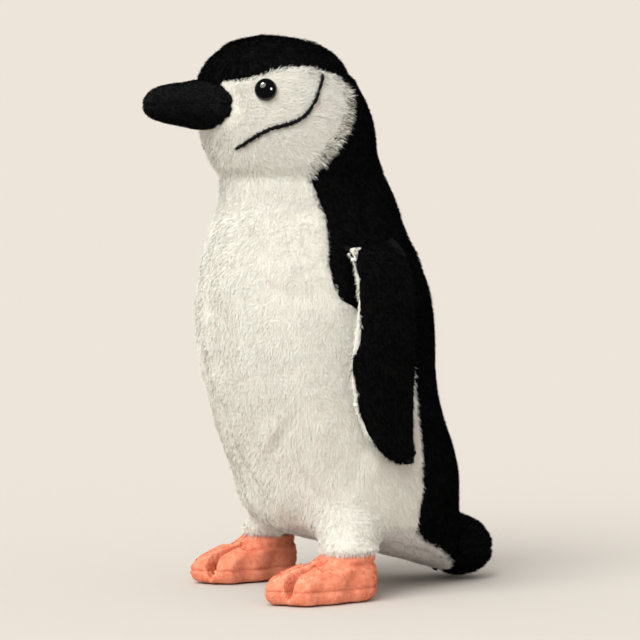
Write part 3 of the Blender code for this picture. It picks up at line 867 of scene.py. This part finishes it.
def seam_depths():
    """Depth of the groove along each seam of the body and head."""
    grooves = {
        ("belly_left", "belly_right"): 1.5 * MM,
        ("back_left", "back_right"): 1.0 * MM,
        ("cap", "nape"): 0.6 * MM,
    }
    for side, _ in SIDES:
        grooves[f"belly_{side}", f"back_{side}"] = 0.9 * MM
        grooves[f"belly_{side}", "base_panel"] = 0.8 * MM
        grooves[f"back_{side}", "base_panel"] = 0.8 * MM
        grooves["cap", f"face_{side}"] = 0.7 * MM
        grooves[f"face_{side}", "nape"] = 0.5 * MM
    return grooves


def open_cuffs(skin, hem, rear):
    """Takes away the skin that closes the cuffs at their hems."""
    bm = bmesh.new()
    bm.from_mesh(skin.data)
    stubs = []
    for face in bm.faces:
        middle = face.calc_center_median()
        if middle.z < hem + 0.4 * MM and middle.y < rear + 1 * MM and abs(middle.x) > CUFF_INSIDE:
            stubs.append(face)
    bmesh.ops.delete(bm, geom=stubs, context="FACES")
    bm.to_mesh(skin.data)
    bm.free()


def make_plush():
    """Belly, back, base, cuffs, face, cap and nape: one skin cut into its panels."""
    fillings = ["body_stuffing", "pellet_bag", "head_stuffing", "leg_stuffing_left", "leg_stuffing_right"]
    bm = solids(*PLUSH_NODES, *fillings)
    for side, _ in SIDES:
        centre, outward = eye_frame(side)
        spot = Matrix.Translation(Vector(centre - outward * EYE_PAD_DEPTH))
        bmesh.ops.create_icosphere(bm, subdivisions=2, radius=EYE_PAD_RADIUS, matrix=spot)
    skin = remeshed("plush_skin", bm, PLUSH_VOXEL, 5)

    cuff_low, cuff_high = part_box("leg_cuff_left")
    hem = cuff_low.z
    open_cuffs(skin, hem, cuff_high.y)

    owners = {name: node_tree(name) for name in PLUSH_NODES}
    points = positions(skin.data)
    gaps = np.stack([distances(tree, points) for tree in owners.values()], axis=1)
    is_trunk = [name.startswith(("belly", "base")) for name in PLUSH_NODES]
    is_cuff = [name.startswith("leg") for name in PLUSH_NODES]
    trunk_gap = gaps[:, is_trunk].min(axis=1)
    cuff_gap = gaps[:, is_cuff].min(axis=1)
    junction = np.clip(2.2 - np.maximum(trunk_gap, cuff_gap) / JUNCTION_REACH, 0.0, 1.0)
    relax(skin, junction * (points[:, 2] > hem + 5 * MM), 200)
    nearest = np.sort(gaps, axis=1)
    near_seam = (nearest[:, 1] < 2.6 * MM) & (junction < 0.5)
    at_hem = (points[:, 2] < hem + 3 * MM) & (points[:, 1] < CUFFS_REAR)
    beak = node_tree("beak_upper", "beak_lower")
    beak_gap = distances(beak, points)
    pinned = near_seam | at_hem | (beak_gap < 1.5 * MM)
    swell(skin, pinned, 2.5, 1.8 * MM, damping=eased(beak_gap / BEAK_REACH))
    subdivided(skin)
    fold(skin, hem)

    def cap_meets_beak(gaps, centres):
        """In front the cap comes down on the beak, with no face between them."""
        ahead = (np.abs(centres[:, 0]) < 13 * MM) & (centres[:, 2] > 268 * MM) & (centres[:, 1] < -0.05)
        gaps[ahead, PLUSH_NODES.index("cap")] = 0.0
        return gaps

    patches = panels(skin, owners, 0.9 * MM, seam_depths(), cap_meets_beak)
    seed = 100
    for side, _ in SIDES:
        belly, back, cuff, face = (f"{part}_{side}" for part in SIDE_PANELS)
        body_fill, head_fill = (("body_stuffing",), ("head_stuffing",)) if side == "left" else ((), ())
        over_face = face_style(side, beak, owners["cap"])
        finish_panel(patches, belly, "white_plush", WHITE_PILE, seed, join_neck, body_fill, belly_style)
        finish_panel(patches, back, "black_plush", BACK_PILE, seed + 10, join_neck)
        finish_panel(
            patches, cuff, "white_plush", WHITE_PILE, seed + 20, on_torso,
            (f"leg_stuffing_{side}",), cuff_style(hem),
        )
        finish_panel(patches, face, "white_plush", CHEEK_PILE, seed + 30, join_neck, head_fill, over_face)
        seed += 50
    finish_panel(patches, "base_panel", "grey_plush", BASE_PILE, 300, on_torso, ("pellet_bag",), low_style)
    finish_panel(patches, "cap", "black_plush", CROWN_PILE, 310, on_head)
    finish_panel(patches, "nape", "black_plush", BACK_PILE, 320, join_neck)
    make_fringe(patches)
    return patches


# Creases of one side: azimuths in degrees with heights in millimetres, then the depth, the width and the
# Y of the axis they are seen from, in millimetres. A negative depth makes a ridge.
CREASES = (
    (((42, 98), (34, 90), (26, 78)), -1.5, 5.0, 0.0),
    (((47, 99), (40, 88), (33, 76)), 1.3, 3.2, 0.0),
    (((4, 78), (10, 66), (20, 54), (30, 47)), 1.6, 3.6, 0.0),
    (((3, 62), (12, 52), (24, 44)), 1.2, 3.0, 0.0),
    (((64, 52), (56, 60), (50, 72)), 0.9, 3.4, 0.0),
    (((80, 60), (84, 76), (92, 92)), 0.8, 4.0, 0.0),
    (((30, 170), (48, 163), (62, 166)), 0.6, 4.5, 0.0),
    (((84, 202), (95, 192), (104, 184)), 1.2, 3.0, 0.0),
    (((120, 196), (132, 178), (140, 160)), 0.9, 4.0, 0.0),
    (((60, 27), (80, 22), (100, 19)), 2.6, 2.4, 45.0),
    (((72, 18), (86, 15), (98, 13.5)), 1.4, 2.2, 60.0),
)
NECK_DEPTH = 1.6 * MM
NECK_WIDTH = 4.6 * MM
BACK_FULLNESS = 1.7 * MM
CUFF_CREASE = 8.5 * MM  # above the hem
CUFFS_TOP = 0.045


def fold(skin, hem):
    """Creases where the stuffing gives way, and the fuller back between them."""
    tree = BVHTree.FromPolygons([v.co for v in skin.data.vertices], [p.vertices for p in skin.data.polygons])
    points = positions(skin.data)
    normals = vertex_normals(skin.data)
    azimuth = np.degrees(azimuths(points, BODY_AXIS))
    front = np.clip((100.0 - azimuth) / 40.0, 0.15, 1.0)
    level = (points[:, 2] - NECK) / NECK_WIDTH
    depth = NECK_DEPTH * front * np.exp(-(level**2))
    depth -= BACK_FULLNESS * eased((azimuth - 85.0) / 45.0) * eased((points[:, 2] - 0.04) / 0.03)
    on_cuffs = (points[:, 2] < CUFFS_TOP) & (points[:, 1] < CUFFS_REAR)
    level = (points[:, 2] - (hem + CUFF_CREASE)) / (2.2 * MM)
    depth += np.where(on_cuffs, 0.45 * MM * np.exp(-(level**2)), 0.0)
    place(skin.data, points - normals * depth[:, None])
    for _, sign in SIDES:
        for spots, depth, width, centre_y in CREASES:
            line = [on_skin(tree, sign * azimuth, height * MM, centre_y * MM) for azimuth, height in spots]
            crease(skin, line, depth * MM, width * MM)


def plain(points):
    """Full length and no fixed tone for every root."""
    return np.ones(len(points)), np.full(len(points), -1)


def belly_style(points, normals, nap, rng):
    """Short along the centre seam; darker, warmer fibres low down are painted shade, and the same fibres also
    fall in soft random patches.
    """
    factor, tones = plain(points)
    factor *= (1 + 0.12 * wander(points, 18 * MM, 77))
    factor *= np.clip(0.4 + np.abs(points[:, 0]) / (4 * MM), 0.0, 1.0)
    # painted shade: darker, warmer fibres low on the belly stand in for shade and warm bounced light; the
    # soft patches are random tone
    painted_shade_and_patches = 0.45 * eased((0.135 - points[:, 2]) / 0.05) + 0.2 * (wander(points, 30 * MM, 78) > 0.9)
    tones[rng.random(len(points)) < painted_shade_and_patches] = 1
    return factor, tones, nap


def low_style(points, normals, nap, rng):
    """Shorter where the floor is near."""
    factor, tones = plain(points)
    return factor * np.clip(points[:, 2] / (4.0 * MM), 0.3, 1.0), tones, nap


def cuff_style(hem):
    """Long at the hem and short along the crease above it."""

    def style(points, normals, nap, rng):
        factor, tones = plain(points)
        factor = np.where(points[:, 2] < hem + 4 * MM, 1.2, 0.85 * factor)
        level = np.abs(points[:, 2] - hem - CUFF_CREASE)
        return factor * np.clip(0.75 + level / (5 * MM), 0.0, 1.0), tones, nap

    return style


def face_style(side, beak, cap):
    """Short and combed round the eye, short at the chin line, the beak and the cap, with deeper fibre tones
    painted low down as shade under the chin.
    """
    centre, _ = eye_frame(side)
    stitches = chin_line(side)

    def style(points, normals, nap, rng):
        factor, tones = plain(points)
        eye_gap = np.linalg.norm(points - centre, axis=1)
        factor *= np.clip((eye_gap - 5.2 * MM) / (7 * MM), 0.0, 1.0) ** 0.5
        round_eye = tangent(points - centre, normals)
        near = np.clip(1.4 - eye_gap / (8 * MM), 0.0, 1.0)[:, None]
        nap = unit(nap * (1 - near) + round_eye * near)
        line_gap, _ = along_line(points, stitches, 70)
        factor *= np.clip(0.25 + line_gap / (4.5 * MM), 0.25, 1.0)
        factor *= np.clip(distances(beak, points) / (5 * MM), 0.15, 1.0)
        ahead = (np.abs(points[:, 0]) < 26 * MM) & (points[:, 1] < -0.04)
        factor *= np.where(ahead, np.clip(distances(cap, points) / (3 * MM), 0.2, 1.0), 1.0)
        # painted shade: deeper fibre tones low on the face and throat, under the chin
        low = np.clip((0.250 - points[:, 2]) / 0.024, 0.0, 1.0)
        painted_throat_shade = rng.random(len(points)) < 0.25 * low
        tones[painted_throat_shade] = rng.choice([1, 2], painted_throat_shade.sum())
        return factor, tones, nap

    return style


FRINGE_DEPTH = 6.5 * MM
FRINGE_CROWN = 274 * MM  # above it the fringe is short

# Name, finish, share of the fringe's depth, and pile
FRINGES = (
    ("face_fringe", "white_plush", 1.0, Pile(3.4, 6.0, 0.24, 46, from_beak, 2.2, 0.5, 0.45)),
    ("face_fringe_brindle", "brindle", 0.8, Pile(4.4, 5.4, 0.24, 48, from_beak, 2.2, 0.5, 0.5)),
    ("face_fringe_dark", "black_plush", 0.62, Pile(5.4, 5.2, 0.26, 48, from_beak, 2.2, 0.6, 0.6)),
)


def make_fringe(patches):
    """Long white, brindled and black fibres that reach over the rear edge of the face."""
    nape_tree = node_tree("nape", "cap")
    for side, sign in SIDES:
        patch = patches[f"face_{side}"]
        for index, (name, finish, reach, pile) in enumerate(FRINGES):
            style = fringe_style(nape_tree, reach * FRINGE_DEPTH)
            for fibres in grow(f"{name}_{side}", patch, finish, pile, 500 + 20 * index + sign, style):
                join_neck(fibres)


def fringe_style(nape_tree, depth):
    """Fibres only near the rear edge of the face, short ones along the edge of the cap."""

    def style(points, normals, nap, rng):
        gap = distances(nape_tree, points)
        behind = np.degrees(azimuths(points, HEAD_AXIS))
        rear = eased((behind - 60.0) / 30.0)
        reach = depth * (0.35 + 0.65 * rear)
        grown = (rng.random(len(points)) < np.clip(1.15 - gap / reach, 0.0, 1.0)) & (behind > 44)
        factor = np.where(grown, 0.35 + 0.6 * rear, 0.0) * np.where(points[:, 2] > FRINGE_CROWN, 0.55, 1.0)
        return factor, plain(points)[1], nap

    return style


# ---- flippers, tail, beak and feet


# How far the pale face of a flipper is rolled round an edge: heights and widths in millimetres
FRONT_ROLL = (
    (74, 1.4), (86, 1.9), (94, 2.5), (120, 2.5), (126, 0.3), (129, 0.8), (136, 2.9),
    (150, 2.9), (157, 1.4), (164, 1.4), (172, 2.6), (184, 0.2), (191, 0.2),
)
REAR_ROLL = ((78, 0.2), (90, 1.6), (106, 1.6), (119, 0.0))

SHOULDER_SINK = 14.0 * MM


def rolled(level, roll):
    """Width of a rolled edge at each height."""
    return np.interp(level, *zip(*roll))


def shoulder_shift(heights, top):
    """How far towards the middle the upper end of a flipper is shifted, so that it grows out of the body."""
    return SHOULDER_SINK * eased((heights - (top - 22 * MM)) / (19 * MM))


def make_flipper(side, sign):
    """Flat flipper, dark outside and pale inside, with its upper end sunk into the shoulder."""
    outer, inner, batting = (f"flipper_{side}_{part}" for part in ("outer", "inner", "batting"))
    skin = remeshed(f"flipper_{side}_skin", solids(outer, inner, batting), FLIPPER_VOXEL, 4)
    points = positions(skin.data)
    lowest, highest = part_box(outer)
    edge_gap = np.minimum(points[:, 1] - lowest.y, highest.y - points[:, 1])
    pinned = (points[:, 2] > highest.z - 10 * MM) | (edge_gap < 2.5 * MM)
    swell(skin, pinned, 1.5, 1.0 * MM, frames=10)
    subdivided(skin)
    points = positions(skin.data)
    points[:, 0] -= sign * shoulder_shift(points[:, 2], highest.z)
    place(skin.data, points)
    trees = (node_tree(outer), node_tree(inner))

    def pale_edges(_, centres):
        """The pale inner face is rolled round the front edge and, low down, round the rear edge."""
        unshifted = centres.copy()
        unshifted[:, 0] += sign * shoulder_shift(centres[:, 2], highest.z)
        outer_gap, inner_gap = (distances(tree, unshifted) for tree in trees)
        ahead = centres[:, 1] < 0.5 * (lowest.y + highest.y)
        level = centres[:, 2] / MM
        outer_gap += np.where(ahead, rolled(level, FRONT_ROLL), rolled(level, REAR_ROLL)) * MM
        dark_rear = 3.0 * eased((level - 116) / 6) + 12.0 * eased((level - 165) / 12)
        dark_top = 9.0 * eased((level - 184) / 5)
        inner_gap += np.where(ahead, 0.0, dark_rear) * MM
        inner_gap += dark_top * MM
        return np.stack([outer_gap, inner_gap], axis=1)

    patches = two_panels(skin, outer, inner, 1.1 * MM, 0.3 * MM, pale_edges)
    dark = Pile(3.8, 2.6, 0.22, 60, FLIPPER_DOWN)
    pale = Pile(3.8, 2.4, 0.22, 58, FLIPPER_DOWN)
    attach = join_shoulder()
    finish_panel(patches, outer, "black_plush", dark, 600 + sign, attach, (batting,))
    finish_panel(patches, inner, "white_plush", pale, 620 + sign, attach)


def make_tail():
    """Round tail whose root is drawn onto the rump."""
    bm = solids("tail_top", "tail_underside", "tail_stuffing")
    skin = remeshed("tail_skin", bm, TAIL_VOXEL, 5)
    subdivided(skin)
    rump = node_tree("back_left", "back_right", "base_panel")
    points = positions(skin.data)
    for index, point in enumerate(points):
        nearest, _, _, gap = rump.find_nearest(Vector(point))
        if 0.0 < gap < 4 * MM:
            points[index] += unit(np.array(nearest) - point) * 5 * MM * (1 - gap / (4 * MM))
    place(skin.data, points)
    patches = two_panels(skin, "tail_top", "tail_underside", 0.7 * MM, 0.6 * MM)
    pile = Pile(3.8, 3.0, 0.22, 58, BACKWARD)
    finish_panel(patches, "tail_top", "black_plush", pile, 700, join_tail, ("tail_stuffing",))
    finish_panel(patches, "tail_underside", "black_plush", pile, 710, join_tail, style=low_style)


def make_beak():
    """Beak that flares towards its root and reaches into the face."""
    bm = solids("beak_upper", "beak_lower", "beak_stuffing")
    skin = remeshed("beak_skin", bm, BEAK_VOXEL, 4)
    subdivided(skin)
    face = node_tree("face_left", "face_right", "cap")
    points = positions(skin.data)
    gap = distances(face, points)
    points += vertex_normals(skin.data) * (np.clip(1 - gap / (9 * MM), 0, 1) * 1.3 * MM)[:, None]
    points[:, 1] += np.clip(1 - gap / (4 * MM), 0, 1) * 6 * MM
    place(skin.data, points)
    patches = two_panels(skin, "beak_upper", "beak_lower", 0.8 * MM, 0.25 * MM)
    pile = Pile(4.5, 1.5, 0.22, 55, BACKWARD, tuft=1.5, gather=0.2)
    finish_panel(patches, "beak_upper", "beak_fleece", pile, 800, on_head, ("beak_stuffing",))
    finish_panel(patches, "beak_lower", "beak_fleece", pile, 810, on_head)


# Middle lines of the three toes of the left foot, from the instep to the tip, in millimetres
TOES = (((52.0, -20.0), (56.0, -39.0)), ((46.0, -18.0), (45.5, -50.0)), ((40.0, -20.0), (34.5, -39.5)))
TOE_CLEFT = 3.2  # width of the clefts between them
ANKLE_RADIUS = 13.2 * MM
ANKLE_CREASE = 20.5 * MM


def cleave(skin, sign):
    """Presses the clefts between the toes down into a foot."""
    points = positions(skin.data)
    spots = points[:, :2] * (sign, 1.0) / MM
    gaps = []
    for start, end in TOES:
        start, end = np.array(start), np.array(end)
        along = np.clip((spots - start) @ (end - start) / np.sum((end - start) ** 2), 0.0, 1.0)
        gaps.append(np.linalg.norm(spots - start - along[:, None] * (end - start), axis=1))
    nearest = np.sort(np.stack(gaps, axis=1), axis=1)
    valley = np.exp(-(((nearest[:, 1] - nearest[:, 0]) / TOE_CLEFT) ** 2))
    valley *= eased((-20.0 - spots[:, 1]) / 11.0)
    points[:, 2] *= 1.0 - 0.62 * valley
    place(skin.data, points)


def make_foot(side, sign):
    """Upper and sole sewn together, closed at the ankle by a disc inside the cuff."""
    upper, sole = f"foot_upper_{side}", f"foot_sole_{side}"
    bm = solids(upper, sole)
    corners = positions(NODES[upper].data)
    top = corners[:, 2].max()
    rim = corners[corners[:, 2] > top - 0.3 * MM]
    middle = (rim.min(axis=0) + rim.max(axis=0)) / 2
    ankle = Matrix.Translation((middle[0], middle[1], top - 1.6 * MM))
    bmesh.ops.create_cone(
        bm, cap_ends=True, segments=24, radius1=ANKLE_RADIUS, radius2=ANKLE_RADIUS,
        depth=2.6 * MM, matrix=ankle,
    )
    skin = remeshed(f"foot_{side}_skin", bm, FOOT_VOXEL, 13)
    points = positions(skin.data)
    seam = np.abs(points[:, 2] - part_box(sole)[1].z) < 1.6 * MM
    swell(skin, seam | (points[:, 2] > top - 5 * MM) | (points[:, 2] < 0.6 * MM), 1.5, 0.9 * MM, frames=8)
    subdivided(skin)
    cleave(skin, sign)
    points = positions(skin.data)
    ring = 1.1 * MM * np.exp(-(((points[:, 2] - ANKLE_CREASE) / (1.5 * MM)) ** 2)) * (points[:, 1] > -0.03)
    place(skin.data, points - vertex_normals(skin.data) * ring[:, None])
    points = positions(skin.data)
    points[:, 2] = np.maximum(points[:, 2], 0.2 * MM)
    place(skin.data, points)
    patches = two_panels(skin, upper, sole, 0.6 * MM, 0.6 * MM)
    pile = Pile(4.5, 1.3, 0.2, 52, TOES_FORWARD, tuft=1.4, gather=0.2, scatter=0.6)
    finish_panel(patches, upper, "coral_fleece", pile, 900 + sign, on_torso)
    finish_panel(patches, sole, "coral_fleece", pile, 920 + sign, on_torso, style=low_style)


# ---- stage


ANGLE = math.radians(CAMERA_AZIMUTH)
RIGHT = Vector((math.cos(ANGLE), math.sin(ANGLE), 0))
AHEAD = Vector((-math.sin(ANGLE), math.cos(ANGLE), 0))
UP = Vector((0, 0, 1))
TO_SUN = (-RIGHT * 0.50 - AHEAD * 0.75 + UP * 0.85).normalized()
LAMP_TARGET = Vector((0.035, -0.05, 0.27))  # near the left eye


def aimed(direction):
    """Rotation of a lamp or camera that has its target behind a direction."""
    return direction.to_track_quat("Z", "Y").to_euler()


def make_lights():
    """A soft sun from the upper left, and two soft boxes that only polished surfaces mirror."""
    sun = bpy.data.lights.new("soft_sun", "SUN")
    sun.energy = SUN
    sun.angle = math.radians(48)
    sun.color = SUN_TINT
    link("soft_sun", sun).rotation_euler = aimed(TO_SUN)
    for name, offset, energy in (
        ("window", -RIGHT * 0.47 - AHEAD * 0.41 + UP * 0.95, 12.0),
        ("fill", RIGHT * 0.76 - AHEAD * 0.63 + UP * 0.17, 8.0),
    ):
        lamp = bpy.data.lights.new(name, "AREA")
        lamp.energy = energy
        lamp.size = 0.30
        box = link(name, lamp)
        box.visible_diffuse = False
        box.location = LAMP_TARGET + offset
        box.rotation_euler = aimed(offset)


def make_floor():
    """Pale floor that comes out as bright as the background."""
    bm = bmesh.new()
    bmesh.ops.create_circle(bm, cap_ends=True, segments=96, radius=40.0)
    mesh = bpy.data.meshes.new("floor")
    bm.to_mesh(mesh)
    bm.free()
    shade = [
        value / (AMBIENT * soft + SUN * hard * TO_SUN.z / math.pi)
        for value, soft, hard in zip(BACKDROP, AMBIENT_TINT, SUN_TINT)
    ]
    mesh.materials.append(shader_material("floor_paper", shade, 0.95, 0.0)[0])
    floor = link("floor", mesh)
    floor.visible_glossy = False


def make_world():
    """Surroundings: a plain backdrop for the camera, a soft glow for the toy, dim in polished surfaces."""
    world = bpy.data.worlds.new("studio")
    bpy.context.scene.world = world
    world.use_nodes = True
    tree = world.node_tree
    glow, mirrored, seen = (
        add_node(tree, "Background", Color=(*tint, 1.0), Strength=strength).outputs["Background"]
        for tint, strength in ((AMBIENT_TINT, AMBIENT), (AMBIENT_TINT, MIRRORED), (BACKDROP, 1.0))
    )
    ray = tree.nodes.new("ShaderNodeLightPath")

    def mixed(kind, usual, special):
        mix = tree.nodes.new("ShaderNodeMixShader")
        for source, socket in ((ray.outputs[kind], 0), (usual, 1), (special, 2)):
            tree.links.new(source, mix.inputs[socket])
        return mix.outputs["Shader"]

    surface = mixed("Is Camera Ray", mixed("Is Glossy Ray", glow, mirrored), seen)
    tree.links.new(surface, tree.nodes["World Output"].inputs["Surface"])


def make_camera():
    scene = bpy.context.scene
    centre_y = 0.5 * (CAD_BOUNDS[0].y + CAD_BOUNDS[1].y)
    lens = bpy.data.cameras.new("camera")
    lens.lens = LENS
    lens.sensor_width = 36.0
    camera = link("camera", lens)
    camera.location = Vector((0, centre_y, CAMERA_HEIGHT)) - AHEAD * CAMERA_DISTANCE
    camera.rotation_euler = aimed(camera.location - Vector((0, centre_y, AIM_HEIGHT)))
    scene.camera = camera
    scene.view_settings.view_transform = "Standard"


def main():
    patches = make_plush()
    gloss = eye_material()
    thread = thread_material()
    washer = washer_material()
    for side, sign in SIDES:
        make_eye(side, gloss)
        patch = patches[f"face_{side}"]
        make_stitching(side, BVHTree.FromPolygons(patch.points.tolist(), patch.faces), thread)
        washer_mesh = NODES[f"eye_washer_{side}"].data
        washer_mesh.materials.clear()
        washer_mesh.materials.append(washer)
        make_flipper(side, sign)
        make_foot(side, sign)
    make_tail()
    make_beak()
    make_lights()
    make_floor()
    make_world()
    make_camera()


main()
